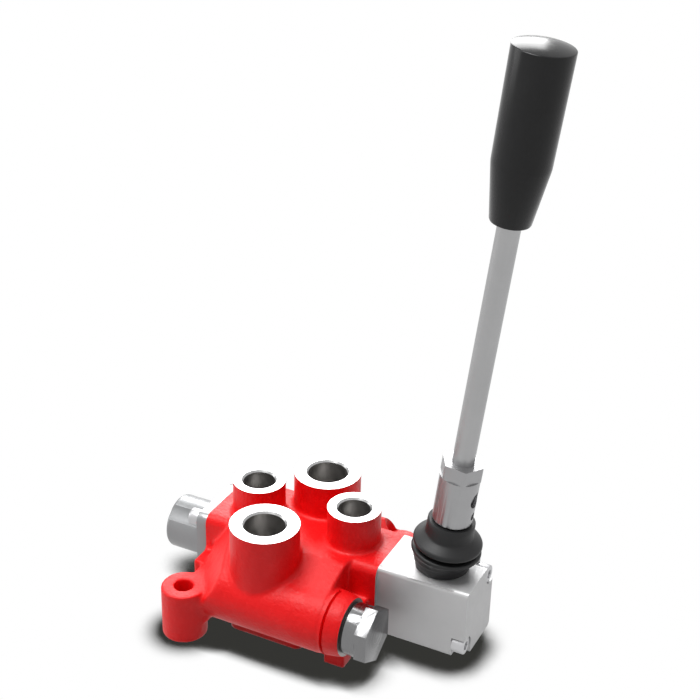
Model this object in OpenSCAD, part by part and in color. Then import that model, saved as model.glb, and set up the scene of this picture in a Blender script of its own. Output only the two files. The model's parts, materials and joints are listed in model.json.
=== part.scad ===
// Manual hydraulic directional control valve with one spool, in millimetres.
// X is the spool axis, with the spring cap at -X and the lever housing at +X.
// Y runs away from the inlet gallery, and Z is up. The origin lies on the
// mounting plane, under the middle of the two work ports.

/* [Casting] */
// Height of the port faces above the mounting plane
port_face_z = 62; // [60:0.5:68]
// Height of the spool axis above the mounting plane
spool_z = 26; // [25:0.5:27]
// Length of the spool housing between its two machined ends
housing_l = 91; // [90:0.5:94]
// Width of the spool housing
housing_w = 35; // [34.5:0.5:36]
// Height of the flat top of the casting above the mounting plane
housing_top_z = 44.4; // [43.5:0.1:46]

/* [Ports] */
// Distance between the two work ports along the spool
work_pitch = 51; // [50:0.5:52]
// Diameter of the bosses around the work ports
work_boss_d = 25.5; // [24:0.5:27]
// Wall diameter of the work port threads, for a G3/8 thread
work_thread_d = 15.25; // [14.5:0.05:16.6]
// Diameter of the bosses around the inlet and outlet ports
main_boss_d = 32.6; // [31:0.2:34]
// Wall diameter of the inlet and outlet threads, for a G1/2 thread
main_thread_d = 19; // [18.4:0.1:20.9]
// Y of the inlet port in front of the spool axis
inlet_y = -31.8; // [-33:0.1:-31]
// Y of the outlet port behind the spool axis
outlet_y = 22.2; // [21.5:0.1:23]

/* [Inlet gallery] */
// Y of the inlet gallery axis
gallery_y = -36; // [-37:0.1:-35.5]
// Outside radius of the inlet gallery
gallery_r = 15.5; // [15:0.1:16]
// Width across the flats of the gallery plug
plug_af = 24; // [22:1:26]

/* [Mounting ears] */
// Height of the ears
ear_h = 26; // [24:0.5:27]
// Diameter of the mounting bolt holes
ear_hole_d = 9; // [8.5:0.1:11]
// Outside radius of the front ear
front_ear_r = 10.7; // [10:0.1:11.5]
// Outside radius of the rear ear
rear_ear_r = 9; // [8.5:0.1:10.5]

/* [Spool] */
// Diameter of the spool
spool_d = 16; // [15.5:0.1:16.5]
// Radial clearance between the spool and its bore
spool_gap = 0.02; // [0.01:0.01:0.05]

/* [Lever] */
// Distance of the lever pivot from the end of the spool housing
pivot_reach = 25.5; // [25:0.1:26]
// Height of the lever pivot above the mounting plane
pivot_z = 41.5; // [41:0.1:42]
// Lean of the lever towards +X in neutral, in degrees
lean = 6.4; // [4:0.1:8]
// Height of the knob's top above the pivot, along the lever
knob_top_s = 250.6; // [220:0.1:280]
// Diameter of the lever rod
rod_d = 10; // [9:0.5:11]
// Largest diameter of the knob
knob_d = 25.5; // [24:0.5:28]

/* [Hidden] */
$fn = 64;

// Small overlap that makes two volumes one, and lets a cut run past a face
eps = 0.5;
// Clearance of a screw thread, modelled as a plain cylinder in a plain hole
thread_gap = 0.05;
// Clearance of a sliding fit
slide_gap = 0.05;
// Clearance of a loose fit
loose_gap = 0.3;

// Where the housing ends, and the pivot
cap_end_x = -housing_l / 2;
lever_end_x = housing_l / 2;
pivot_x = lever_end_x + pivot_reach;
housing_bottom_z = spool_z - 17.4;
housing_corner_r = 4.4;

// The lobes either side of the housing, where the galleries run
lobe_cap_x = cap_end_x + 5.5;
lobe_lever_x = lever_end_x - 13.7;
rear_lobe_cap_x = cap_end_x + 9.5;
rear_lobe_lever_x = lever_end_x - 7.1;
gallery_z = 23.25;
shoulder_y = 20.5;
rear_lobe_y = 25.7;
rear_core_y = outlet_y;
rear_core_z = 20;
rear_core_r = 5;
inlet_x = -4.5;
// Slopes that end the lobes above the ears: a point on each, its tilt from level and its heading
front_slope = [cap_end_x + 4.2, -23.8, ear_h];
front_slope_tilt = 57.3;
front_slope_heading = 210.9;
rear_slope = [lever_end_x - 10.5, 25, 32.4];
rear_slope_tilt = 43.1;
rear_slope_heading = 12.8;

// The collar at the mouth of the inlet gallery
collar_x0 = lever_end_x - 12.3;
collar_x1 = lever_end_x - 3;
collar_r = 13.6;
plug_thread_r = 9.2;
plug_thread_l = 13;
gallery_core_r = 7.5;

// The ears and the base pad
front_ear = [cap_end_x + 6.3, -47.8];
rear_ear = [lever_end_x - 10.5, 34.6];
web_x0 = cap_end_x + 5;
web_x1 = lever_end_x - 7;
web_in_y = 10;
pad_x = [cap_end_x + 23.5, lever_end_x - 28.5];
pad_y = [-37, 27];
pad_h = 9;

// Annular grooves in the spool bore
groove_w = 7;
groove_r = 11;
bridge_x = 12.75;
tank_x = lever_end_x - 10.5;
tank_branch_x = tank_x - 1.5;
work_x = work_pitch / 2;
spool_r = spool_d / 2;
bore_r = spool_r + spool_gap;
spool_end_x = cap_end_x - 0.5;
bolt_thread_r = 3;

// Load check valve under the middle of the spool
check_chamber_r = 5.5;
check_seat_top_z = 16;
check_seat_l = 3;
check_thread_r = 7;
check_plug_l = 5;
bridge_z = 10.5;
bridge_r = 2.8;
check_y = -14;

// Relief valve in the inlet gallery, and its drain to the outlet gallery
drain_x = collar_x1 - 22.1;
drain_z = 12.3;
drain_r = 2;
relief_seat_x = collar_x1 - 33.5;
relief_seat_l = 6;
relief_stroke = 2;

// Spring cap
cap_plate_t = 5.3;
cap_len = 26.5;
cap_r = 15;
cap_cavity_r = 11.5;
screw_offset = 13;
housing_screw_offset = 12.2;
screw_head_r = 4.25;
screw_head_h = 5;
screw_r = 2.5;
screw_bite = 9;
screw_groove_r = 4.9;

// Centring spring and its seats
seat_t = 2;
seat_rim = 1.6;
spring_wire_r = 0.65;
spring_mid_r = 9.5;
bolt_r = 4;
bolt_head_r = 6.5;
bolt_head_l = 3;
bolt_reach = 18;
// Face seals in the cap's plate and in the lever housing
face_seal_r = 0.75;
cap_seal_mid_r = 13.2;
housing_seal_mid_r = 11.5;

// Lever housing
box_len = 44.8;
box_half_w = 15.7;
box_z = [7.5, housing_top_z];
box_cavity_r = 9.6;
box_cavity_l = 40;
pocket_l = 6.6;
socket_r = 9;
socket_throat_r = 7;
socket_floor_z = 36;
ball_r = 7;
tip_r = 4;
tip_drop = pivot_z - spool_z;
arm_r = 2.6;
pin_r = 2;

// Lever parts, measured along the lever from the pivot
stem_r = 5;
stem_neck_r = 4;
stem_neck_s = 28;
stem_top_s = 44;
hub_s0 = 30.2;
hub_s1 = 61.5;
hub_r = 9.25;
hub_af = 17;
hub_hex_h = 7.4;
hub_hole_s = 45.5;
hub_hole_r = 4;
boot_foot_r = 12.5;
boot_foot_h = 4.4;
boot_low_s = 5.6;
boot_low_lip_r = 16.2;
boot_low_lip_s = 12.4;
boot_groove_r = 12.6;
boot_groove_s = 15.4;
boot_high_lip_r = 16;
boot_high_lip_s = 18;
boot_neck_r = 10.3;
boot_neck_s = 22.2;
boot_top_s = 29.8;
boot_hollow_s = 3;
boot_hollow_r = 8;
rod_s0 = 45;
knob_s0 = 177.8;
knob_taper_s = 203;
knob_neck_r = 8.8;
knob_low_r = 12.3;
knob_dome_h = 2.6;
insert_s0 = 180;
insert_l = 26;
insert_r = 7.4;

// Turns a shape drawn along +Z so that it lies along +X
module along_x() {
    rotate([0, 90, 0]) children();
}

// Cylinder along X from x0 to x1
module rod_x(x0, x1, r, y = 0, z = 0) {
    translate([x0, y, z]) along_x() cylinder(h = x1 - x0, r = r);
}

// Cylinder along Y from y0 to y1
module rod_y(y0, y1, r, x = 0, z = 0) {
    translate([x, y0, z]) rotate([-90, 0, 0]) cylinder(h = y1 - y0, r = r);
}

// Block given by its two corners
module block(a, b) {
    translate(a) cube(b - a);
}

// Profile in Y and Z, drawn out along X from x0 to x1
module profile_x(x0, x1) {
    translate([x0, 0, 0]) rotate([90, 0, 90]) linear_extrude(x1 - x0) children();
}

// Rectangle with rounded corners, given by its two corners
module rounded_rect(a, b, r) {
    translate([a[0] + r, a[1]]) square([b[0] - a[0] - 2 * r, b[1] - a[1]]);
    translate([a[0], a[1] + r]) square([b[0] - a[0], b[1] - a[1] - 2 * r]);
    for (x = [a[0] + r, b[0] - r], y = [a[1] + r, b[1] - r]) translate([x, y]) circle(r);
}

// Places a shape along the lever, with its origin at the pivot
module on_lever(s = 0) {
    translate([pivot_x, 0, pivot_z]) rotate([0, lean, 0]) translate([0, 0, s]) children();
}

// Closed coil along +Z with flat ends, as a stack of rings joined by a rib
module coil(l, mid_r, wire_r, turns) {
    pitch = (l - 2 * wire_r) / turns;
    for (i = [0:turns])
        translate([0, 0, wire_r + i * pitch])
            rotate_extrude() translate([mid_r, 0]) circle(wire_r);
    translate([mid_r, 0, wire_r]) cylinder(h = l - 2 * wire_r, r = wire_r * 0.6);
}

// Solid ring seal of round section, around X
module seal_x(x, mid_r, section_r, y = 0, z = spool_z) {
    translate([x, y, z]) along_x() rotate_extrude() translate([mid_r, 0]) circle(section_r);
}

// Groove for a face seal, cut from x towards side
module face_groove(x, side, mid_r) {
    depth = 2 * face_seal_r + 0.05;
    translate([side > 0 ? x - eps : x - depth, 0, spool_z]) along_x() difference() {
        cylinder(h = depth + eps, r = mid_r + face_seal_r + 0.1);
        translate([0, 0, -eps]) cylinder(h = depth + 3 * eps, r = mid_r - face_seal_r - 0.1);
    }
}

// Socket head cap screw along +X, with its head's outer face at x = 0
module cap_screw(head_r, head_h, r, l) {
    difference() {
        union() {
            rod_x(0, head_h, head_r);
            rod_x(head_h - eps, head_h + l, r);
        }
        translate([-eps, 0, 0]) along_x() cylinder(h = head_h * 0.5 + eps, r = head_r * 0.55, $fn = 6);
    }
}

// Y and Z of the cap's two screws, at the front top and the rear bottom
module at_cap_screws() {
    for (k = [-1, 1]) translate([0, k * screw_offset, spool_z - k * screw_offset]) children();
}

// Y and Z of the lever housing's two screws, at the front bottom and the rear top
module at_housing_screws() {
    for (k = [-1, 1]) translate([0, k * housing_screw_offset, spool_z + k * housing_screw_offset]) children();
}

// Solid side lobe around a gallery, with its sloping roof up to the flat top.
// The cylinder lies at y_axis, and side is -1 in front and 1 behind.
module lobe(y_axis, side, x0, x1) {
    dy = abs(y_axis) - shoulder_y;
    dz = housing_top_z - gallery_z;
    reach = norm([dy, dz]);
    // Angle on the cylinder where the roof meets it, a little short of tangent
    a = 180 - atan2(dz, dy) - acos(gallery_r / reach) + 10;
    meet = [abs(y_axis) - gallery_r * cos(a + 180), gallery_z + gallery_r * sin(a)];
    floor_z = housing_bottom_z + 0.3;
    outline = [[0, floor_z], [0, housing_top_z], [shoulder_y, housing_top_z], meet,
               [abs(y_axis), gallery_z], [abs(y_axis), floor_z]];
    profile_x(x0, x1) {
        translate([y_axis, gallery_z]) circle(gallery_r);
        polygon([for (p = outline) [side * p[0], p[1]]]);
    }
}

// Everything above a slope that passes through point
module slope(point, tilt, heading) {
    reach = 70;
    translate(point) rotate([0, tilt, heading]) translate([-reach, -reach, 0]) cube([2 * reach, 2 * reach, reach]);
}

module casting_outside() {
    // Height inside the lobes where the large bosses start
    boss_z = spool_z - 6;
    // Spool housing with machined ends, a hair below the flat top of the lobes
    profile_x(cap_end_x, lever_end_x)
        rounded_rect([-housing_w / 2, housing_bottom_z], [housing_w / 2, housing_top_z - 0.1], housing_corner_r);
    difference() {
        lobe(gallery_y, -1, lobe_cap_x, lobe_lever_x);
        slope(front_slope, front_slope_tilt, front_slope_heading);
    }
    difference() {
        lobe(rear_lobe_y, 1, rear_lobe_cap_x, rear_lobe_lever_x);
        slope(rear_slope, rear_slope_tilt, rear_slope_heading);
    }
    // Collar that tapers to the mouth of the inlet gallery
    translate([0, gallery_y, gallery_z]) along_x() rotate_extrude()
        polygon([[0, lobe_lever_x - eps], [gallery_r - 0.7, lobe_lever_x - eps],
                 [gallery_r - 0.7, collar_x0], [gallery_r - 0.1, collar_x0 + 0.6],
                 [gallery_r - 0.5, collar_x0 + 3], [collar_r + 0.7, collar_x1 - 1.6],
                 [collar_r, collar_x1], [0, collar_x1]]);
    // Webs out to the ears, and the lug below the spring cap
    block([web_x0, front_ear[1], 8.4], [web_x0 + 13.5, -web_in_y, ear_h]);
    block([cap_end_x, -29.4, 12], [web_x0 + eps, -web_in_y, ear_h + 0.5]);
    block([web_x1 - 14.5, web_in_y, 8.2], [web_x1, rear_ear[1], ear_h]);
    block([cap_end_x + 7, web_in_y, 8.2], [cap_end_x + 15.5, rear_ear[1] + 1.4, ear_h]);
    // Plate between the collar and the lever housing
    block([collar_x1 - 14.5, gallery_y + 6, 8.3], [collar_x1 - 0.5, -web_in_y, ear_h + 1]);
    translate([front_ear[0], front_ear[1], 0]) cylinder(h = ear_h, r = front_ear_r);
    translate([rear_ear[0], rear_ear[1], 0]) cylinder(h = ear_h, r = rear_ear_r);
    // Base pad and the foot under the collar
    linear_extrude(pad_h) rounded_rect([pad_x[0], pad_y[0]], [pad_x[1], pad_y[1]], 4);
    block([collar_x1 - 12.5, gallery_y - 2.5, 0], [collar_x1 - 2, gallery_y + 6.4, pad_h]);
    // Port bosses
    for (k = [-1, 1]) translate([k * work_x, 0, spool_z]) cylinder(h = port_face_z - spool_z, d = work_boss_d);
    translate([inlet_x, inlet_y, boss_z]) cylinder(h = port_face_z - boss_z, d = main_boss_d);
    translate([0, outlet_y, boss_z]) cylinder(h = port_face_z - boss_z, d = main_boss_d);
}

// Threaded port with a chamfered mouth, and the core below it down to floor_z
module port_cut(x, y, thread_d, thread_l, core_r, floor_z) {
    chamfer = 0.9;
    translate([x, y, port_face_z - thread_l]) cylinder(h = thread_l + eps, d = thread_d);
    translate([x, y, port_face_z - chamfer])
        cylinder(h = chamfer + 0.01, r1 = thread_d / 2, r2 = thread_d / 2 + chamfer);
    translate([x, y, floor_z]) cylinder(h = port_face_z - thread_l - floor_z + eps, r = core_r);
}

module casting_cuts() {
    // Spool bore and the grooves around it
    rod_x(cap_end_x - eps, lever_end_x + eps, bore_r, 0, spool_z);
    for (x = [-tank_x, -work_x, -bridge_x, 0, bridge_x, work_x, tank_x])
        rod_x(x - groove_w / 2, x + groove_w / 2, groove_r, 0, spool_z);
    // Seats of the ring seals at both ends of the bore
    rod_x(cap_end_x - eps, cap_end_x + 2.6, spool_r + 2.1, 0, spool_z);
    rod_x(lever_end_x - 2.6, lever_end_x + eps, spool_r + 2.1, 0, spool_z);
    // Ports
    for (k = [-1, 1]) port_cut(k * work_x, 0, work_thread_d, 13, 5.5, spool_z + 5);
    port_cut(inlet_x, inlet_y, main_thread_d, 15, 7, gallery_z);
    port_cut(0, outlet_y, main_thread_d, 15, 7, rear_core_z);
    // Inlet gallery, open at the collar
    rod_x(inlet_x - 17.5, relief_seat_x, gallery_core_r - 1.5, gallery_y, gallery_z);
    rod_x(relief_seat_x, collar_x1 - plug_thread_l - 1, gallery_core_r, gallery_y, gallery_z);
    rod_x(collar_x1 - plug_thread_l - 1.5, collar_x1 + eps, plug_thread_r, gallery_y, gallery_z);
    rod_y(gallery_y, 0, 4.5, 0, spool_z);
    // Outlet gallery, its branches to the tank grooves, and the relief drain
    rod_x(-tank_branch_x - 3.4, tank_branch_x + 3.4, rear_core_r, rear_core_y, rear_core_z);
    for (k = [-1, 1]) rod_y(1, rear_core_y, 3, k * tank_branch_x, rear_core_z);
    rod_y(gallery_y + 1, rear_core_y, drain_r, drain_x, drain_z);
    for (y = [gallery_y, rear_core_y])
        translate([drain_x, y, drain_z - drain_r - 0.8]) cylinder(h = 10, r = drain_r + 0.6);
    // Load check chamber below the inlet core, and the bridge from it to both sides of the spool
    translate([0, check_y, -eps]) cylinder(h = check_plug_l + eps, r = check_thread_r);
    translate([0, check_y, check_plug_l - 1]) cylinder(h = check_seat_top_z - check_plug_l + 1, r = check_chamber_r);
    translate([0, check_y, check_seat_top_z - 1]) cylinder(h = spool_z - check_seat_top_z, r = 3);
    rod_y(check_y, 1, bridge_r, 0, bridge_z);
    rod_x(-bridge_x, bridge_x, bridge_r, 0, bridge_z);
    for (k = [-1, 1]) translate([k * bridge_x, 0, bridge_z - 2]) cylinder(h = spool_z - bridge_z, r = bridge_r + 0.4);
    // Mounting holes
    for (p = [front_ear, rear_ear]) translate([p[0], p[1], -eps]) cylinder(h = ear_h + 2 * eps, d = ear_hole_d);
    // Threaded holes for the end screws
    translate([cap_end_x - eps, 0, 0]) at_cap_screws() rod_x(0, screw_bite + 2 + eps, screw_r + thread_gap);
    translate([lever_end_x - screw_bite - 2, 0, 0]) at_housing_screws()
        rod_x(0, screw_bite + 2 + eps, screw_r + thread_gap);
}

module valve_casting() {
    color("red") difference() {
        casting_outside();
        casting_cuts();
    }
}
valve_casting();

// Hexagon plug that closes the gallery, hollow for the relief spring
module gallery_plug() {
    shoulder_x = collar_x1 + 0.8;
    hex_x = collar_x1 + 7.3;
    end_x = hex_x + 5.9;
    translate([0, gallery_y, gallery_z]) color("silver") difference() {
        union() {
            rod_x(collar_x1 - plug_thread_l + 1, shoulder_x + eps, plug_thread_r - thread_gap);
            rod_x(shoulder_x, hex_x, plug_af / 2);
            intersection() {
                translate([hex_x - eps, 0, 0]) along_x()
                    cylinder(h = end_x - hex_x + eps, d = plug_af / cos(30), $fn = 6);
                // Corners of the hexagon, turned off at 30 degrees
                translate([hex_x - 1, 0, 0]) along_x() rotate_extrude()
                    polygon([[0, 0], [plug_af, 0], [plug_af, 2], [plug_af / 2 - 0.4, end_x - hex_x + 1],
                             [0, end_x - hex_x + 1]]);
            }
        }
        rod_x(collar_x1 - plug_thread_l, collar_x1 - 2, 5.2);
    }
}
gallery_plug();

// Bonded washer between the collar and the plug's shoulder
module gallery_plug_seal() {
    color("black") difference() {
        rod_x(collar_x1, collar_x1 + 0.8, plug_af / 2 + 0.3, gallery_y, gallery_z);
        rod_x(collar_x1 - eps, collar_x1 + 1, plug_thread_r, gallery_y, gallery_z);
    }
}
gallery_plug_seal();

// Hardened seat ring of the relief valve
module relief_seat() {
    color("dimgray") difference() {
        rod_x(relief_seat_x, relief_seat_x + relief_seat_l, gallery_core_r, gallery_y, gallery_z);
        rod_x(relief_seat_x - eps, relief_seat_x + relief_seat_l + eps, 3, gallery_y, gallery_z);
    }
}
relief_seat();

// Cone poppet that lifts towards +X, with a spigot inside its spring
module relief_poppet() {
    x0 = relief_seat_x + relief_seat_l + slide_gap;
    color("silver") translate([x0, gallery_y, gallery_z]) along_x() rotate_extrude()
        polygon([[0, -1.6], [1.4, -1.6], [3.6, 0.6], [5.6, 1.4], [5.6, 4], [2.2, 4], [2.2, 8], [0, 8]]);
}
relief_poppet();

// Relief spring, between the poppet's flange and the shim in the plug
relief_spring_x0 = relief_seat_x + relief_seat_l + 4.1;
relief_shim_x = collar_x1 - 3;
module relief_spring() {
    color("silver") translate([relief_spring_x0, gallery_y, gallery_z]) along_x()
        coil(relief_shim_x - relief_spring_x0 - 0.1, 3.8, 0.8, 8);
}
relief_spring();

// Shim that sets the relief pressure
module relief_shim() {
    color("silver") rod_x(relief_shim_x, collar_x1 - 2, 5, gallery_y, gallery_z);
}
relief_shim();

// Seat ring of the load check valve
module check_seat() {
    color("dimgray") difference() {
        translate([0, check_y, check_seat_top_z - check_seat_l]) cylinder(h = check_seat_l, r = check_chamber_r);
        translate([0, check_y, check_seat_top_z - check_seat_l - eps]) cylinder(h = check_seat_l + 2 * eps, r = 3);
    }
}
check_seat();

// Poppet of the load check valve, which opens downwards
module check_poppet() {
    z1 = check_seat_top_z - check_seat_l - slide_gap;
    color("silver") translate([0, check_y, z1]) rotate_extrude()
        polygon([[0, 1.6], [1.2, 1.6], [3.4, -0.6], [4.4, -0.6], [4.4, -2], [1.8, -2], [1.8, -4], [0, -4]]);
}
check_poppet();

// Spring under the load check poppet
module check_spring() {
    color("silver") translate([0, check_y, check_plug_l + 0.1])
        coil(check_seat_top_z - check_seat_l - 2.2 - check_plug_l - 0.1, 3.1, 0.5, 4);
}
check_spring();

// Plug with a hexagon socket, flush with the mounting plane
module check_plug() {
    color("silver") difference() {
        translate([0, check_y, 0.8]) cylinder(h = check_plug_l - 0.8, r = check_thread_r - thread_gap);
        translate([0, check_y, 0.3]) cylinder(h = 3, d = 6 / cos(30), $fn = 6);
    }
}
check_plug();

// Spool with its metering necks, the bolt's thread and the lever's socket
module spool() {
    x0 = spool_end_x;
    x1 = pivot_x + 8.6;
    tank_neck = [tank_x - 4.5, tank_x + 6];
    meter_neck = [bridge_x - 3.75, work_x - 5];
    color("silver") difference() {
        rod_x(x0, x1, spool_r, 0, spool_z);
        for (n = [tank_neck, meter_neck], turn = [0, 180]) rotate(turn) difference() {
            rod_x(n[0], n[1], spool_r + 1, 0, spool_z);
            rod_x(n[0] - 1, n[1] + 1, 5, 0, spool_z);
        }
        rod_x(x0 - eps, x0 + 14, bolt_thread_r, 0, spool_z);
        // Socket for the lever's tip, opening upwards
        translate([pivot_x, 0, spool_z - tip_r - 0.6]) rotate_extrude()
            polygon([[0, 0], [tip_r + 0.15, 0], [tip_r + 0.15, tip_r + 3.6], [spool_r - 0.6, tip_r + 9.6],
                     [0, tip_r + 9.6]]);
    }
}
spool();

// Ring seals in the ends of the spool bore
module spool_seal_cap_end() {
    color("black") seal_x(cap_end_x + 1.4, spool_r + 1.05, 0.95);
}
spool_seal_cap_end();

module spool_seal_lever_end() {
    color("black") seal_x(lever_end_x - 1.4, spool_r + 1.05, 0.95);
}
spool_seal_lever_end();

// Aluminium cap over the centring spring
module spring_cap() {
    plate_x = cap_end_x - cap_plate_t;
    end_x = cap_end_x - cap_len;
    half = 17.4;
    color("lightgray") difference() {
        union() {
            profile_x(plate_x, cap_end_x)
                rounded_rect([-half, spool_z - half], [half, spool_z + half], housing_corner_r);
            difference() {
                // Round body with a softened end
                translate([end_x, 0, spool_z]) along_x() rotate_extrude()
                    polygon([[0, 0], [cap_r - 1.8, 0], [cap_r - 0.6, 0.5], [cap_r, 1.6],
                             [cap_r, cap_len - 1], [0, cap_len - 1]]);
                // Grooves that clear the screw heads
                translate([end_x - eps, 0, 0]) at_cap_screws()
                    rod_x(0, cap_len - cap_plate_t + eps, screw_groove_r);
            }
        }
        rod_x(end_x + 3.2, cap_end_x + eps, cap_cavity_r, 0, spool_z);
        face_groove(cap_end_x, -1, cap_seal_mid_r);
        translate([plate_x - eps, 0, 0]) at_cap_screws() rod_x(0, cap_plate_t + 2 * eps, screw_r + 0.2);
    }
}
spring_cap();

module cap_screws() {
    translate([cap_end_x - cap_plate_t - screw_head_h, 0, 0])
        color("lightgray") at_cap_screws() cap_screw(screw_head_r, screw_head_h, screw_r, cap_plate_t + screw_bite);
}
cap_screws();

// Ring seal in the face of the cap's plate
module cap_seal() {
    color("black") seal_x(cap_end_x - face_seal_r - 0.03, cap_seal_mid_r, face_seal_r - 0.02);
}
cap_seal();

// Shoulder bolt in the spool's end, which carries the spring
bolt_head_x = cap_end_x - bolt_reach;
module spring_bolt() {
    color("dimgray") difference() {
        union() {
            rod_x(bolt_head_x, bolt_head_x + bolt_head_l, bolt_head_r, 0, spool_z);
            rod_x(bolt_head_x + bolt_head_l - 1, spool_end_x, bolt_r, 0, spool_z);
            rod_x(spool_end_x - eps, spool_end_x + 12.5, bolt_thread_r - thread_gap, 0, spool_z);
        }
        translate([bolt_head_x - eps, 0, spool_z]) along_x() cylinder(h = 2.5 + eps, d = 5 / cos(30), $fn = 6);
    }
}
spring_bolt();

// Ring that the spring bears on, against the casting, around the spool's end
module inner_spring_seat() {
    color("silver") difference() {
        rod_x(cap_end_x - seat_t, cap_end_x, spring_mid_r + spring_wire_r, 0, spool_z);
        rod_x(cap_end_x - seat_t - eps, cap_end_x + eps, spool_r + loose_gap, 0, spool_z);
    }
}
inner_spring_seat();

// Dished ring under the bolt's head, with a rim that centres the spring
module outer_spring_seat() {
    x0 = bolt_head_x + bolt_head_l;
    color("silver") difference() {
        union() {
            rod_x(x0, x0 + seat_t, spring_mid_r + spring_wire_r, 0, spool_z);
            rod_x(x0, x0 + seat_t + seat_rim, spring_mid_r - spring_wire_r - 0.2, 0, spool_z);
        }
        rod_x(x0 - eps, x0 + seat_t + seat_rim + eps, bolt_r, 0, spool_z);
    }
}
outer_spring_seat();

module centring_spring() {
    x0 = bolt_head_x + bolt_head_l + seat_t + 0.1;
    x1 = cap_end_x - seat_t - 0.1;
    color("silver") translate([x0, 0, spool_z]) along_x() coil(x1 - x0, spring_mid_r, spring_wire_r, 3);
}
centring_spring();

// Die-cast lever housing, with rounder edges next to the casting
module lever_housing() {
    x0 = lever_end_x;
    x1 = lever_end_x + box_len;
    color("lightgray") difference() {
        union() {
            hull() {
                profile_x(x0, x0 + 1)
                    rounded_rect([-box_half_w, box_z[0]], [box_half_w, box_z[1] - 0.3], 3.4);
                profile_x(x1 - 1, x1)
                    rounded_rect([-box_half_w, box_z[0]], [box_half_w, box_z[1]], 1);
            }
            // Raised seat under the boot
            translate([pivot_x + 0.4, 0, box_z[1] - eps]) cylinder(h = 0.5 + eps, r1 = 15, r2 = 12.8);
        }
        rod_x(x0 - eps, x0 + box_cavity_l, box_cavity_r, 0, spool_z);
        face_groove(x0, 1, housing_seal_mid_r);
        translate([pivot_x, 0, spool_z]) cylinder(h = socket_floor_z - spool_z + eps, r = socket_throat_r);
        translate([pivot_x, 0, socket_floor_z]) cylinder(h = 20, r = socket_r);
        // Screw holes, and the open corner pockets for their heads
        translate([x0 - eps, 0, 0]) at_housing_screws() rod_x(0, box_len + 1, screw_r + 0.2);
        translate([x1 - pocket_l, 0, 0]) at_housing_screws() rod_x(0, pocket_l + eps, screw_head_r + 0.25);
        for (k = [-1, 1]) translate([x1 - pocket_l, k * housing_screw_offset, spool_z + k * housing_screw_offset])
            rotate([k > 0 ? 0 : 180, 0, 0]) translate([0, -0.3, -0.3]) cube([pocket_l + eps, 9, 9]);
    }
}
lever_housing();

module housing_screws() {
    head_x = lever_end_x + box_len - pocket_l + screw_head_h;
    color("silver") translate([head_x, 0, 0]) at_housing_screws() rotate([0, 180, 0])
        cap_screw(screw_head_r, screw_head_h, screw_r, box_len - pocket_l + screw_bite);
}
housing_screws();

// Ring seal in the lever housing's machined face
module housing_seal() {
    color("black") seal_x(lever_end_x + face_seal_r + 0.03, housing_seal_mid_r, face_seal_r - 0.02);
}
housing_seal();

// Lower and upper halves of the socket that holds the lever's ball
module ball_seat() {
    color("ivory") difference() {
        translate([pivot_x, 0, socket_floor_z]) cylinder(h = pivot_z - socket_floor_z, r = socket_r - slide_gap);
        translate([pivot_x, 0, pivot_z]) sphere(ball_r + slide_gap);
        // Room for the arm as it swings
        translate([pivot_x, 0, socket_floor_z - eps]) cylinder(h = 3, r1 = 6.2, r2 = 4.4);
        rod_y(-socket_r - eps, socket_r + eps, pin_r + slide_gap, pivot_x, pivot_z);
    }
}
ball_seat();

module ball_retainer() {
    color("silver") difference() {
        translate([pivot_x, 0, pivot_z]) cylinder(h = 4, r = socket_r - thread_gap);
        translate([pivot_x, 0, pivot_z]) sphere(ball_r + slide_gap);
        // Flare for the stem as it swings
        translate([pivot_x, 0, pivot_z + 2]) cylinder(h = 3, r1 = 6, r2 = 7.4);
        rod_y(-socket_r - eps, socket_r + eps, pin_r + slide_gap, pivot_x, pivot_z);
    }
}
ball_retainer();

module pivot_pin() {
    color("silver") rod_y(-socket_r + 0.6, socket_r - 0.6, pin_r, pivot_x, pivot_z);
}
pivot_pin();

// Lever stem: the arm and tip below the ball are upright, the stem above it leans
module lever_stem() {
    color("silver") difference() {
        union() {
            translate([pivot_x, 0, pivot_z]) sphere(ball_r);
            translate([pivot_x, 0, spool_z]) cylinder(h = tip_drop, r = arm_r);
            translate([pivot_x, 0, spool_z]) sphere(tip_r);
            on_lever(3) cylinder(h = stem_neck_s - 2, r = stem_neck_r);
            on_lever(stem_neck_s) cylinder(h = stem_top_s - stem_neck_s, r = stem_r);
        }
        rod_y(-socket_r, socket_r, pin_r, pivot_x, pivot_z);
    }
}
lever_stem();

// Rubber boot with two lips. Its foot stands upright and the rest leans with the lever
module lever_boot() {
    foot_z = housing_top_z + 0.5;
    color("black") difference() {
        union() {
            translate([pivot_x + 0.5, 0, foot_z]) cylinder(h = boot_foot_h, r = boot_foot_r);
            on_lever() rotate_extrude()
                polygon([[6.5, boot_low_s], [boot_foot_r - 0.1, boot_low_s],
                         [boot_low_lip_r, boot_low_lip_s], [boot_low_lip_r, boot_low_lip_s + 2],
                         [boot_groove_r, boot_groove_s], [boot_groove_r, boot_groove_s + 0.8],
                         [boot_high_lip_r - 0.4, boot_high_lip_s - 1.4], [boot_high_lip_r, boot_high_lip_s],
                         [boot_high_lip_r - 0.6, boot_high_lip_s + 1.4], [boot_neck_r + 0.3, boot_neck_s],
                         [boot_neck_r, boot_top_s], [stem_r + 0.4, boot_top_s],
                         [stem_r + 0.4, boot_neck_s - 0.2], [6.5, boot_neck_s - 1.2]]);
        }
        translate([pivot_x, 0, foot_z - eps]) cylinder(h = 2, r = socket_r + 0.6);
        translate([pivot_x, 0, foot_z]) cylinder(h = 5, r1 = boot_hollow_r + 2, r2 = boot_hollow_r + 0.2);
        on_lever(boot_hollow_s) cylinder(h = boot_neck_s + 0.8 - boot_hollow_s, r = boot_hollow_r);
    }
}
lever_boot();

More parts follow.
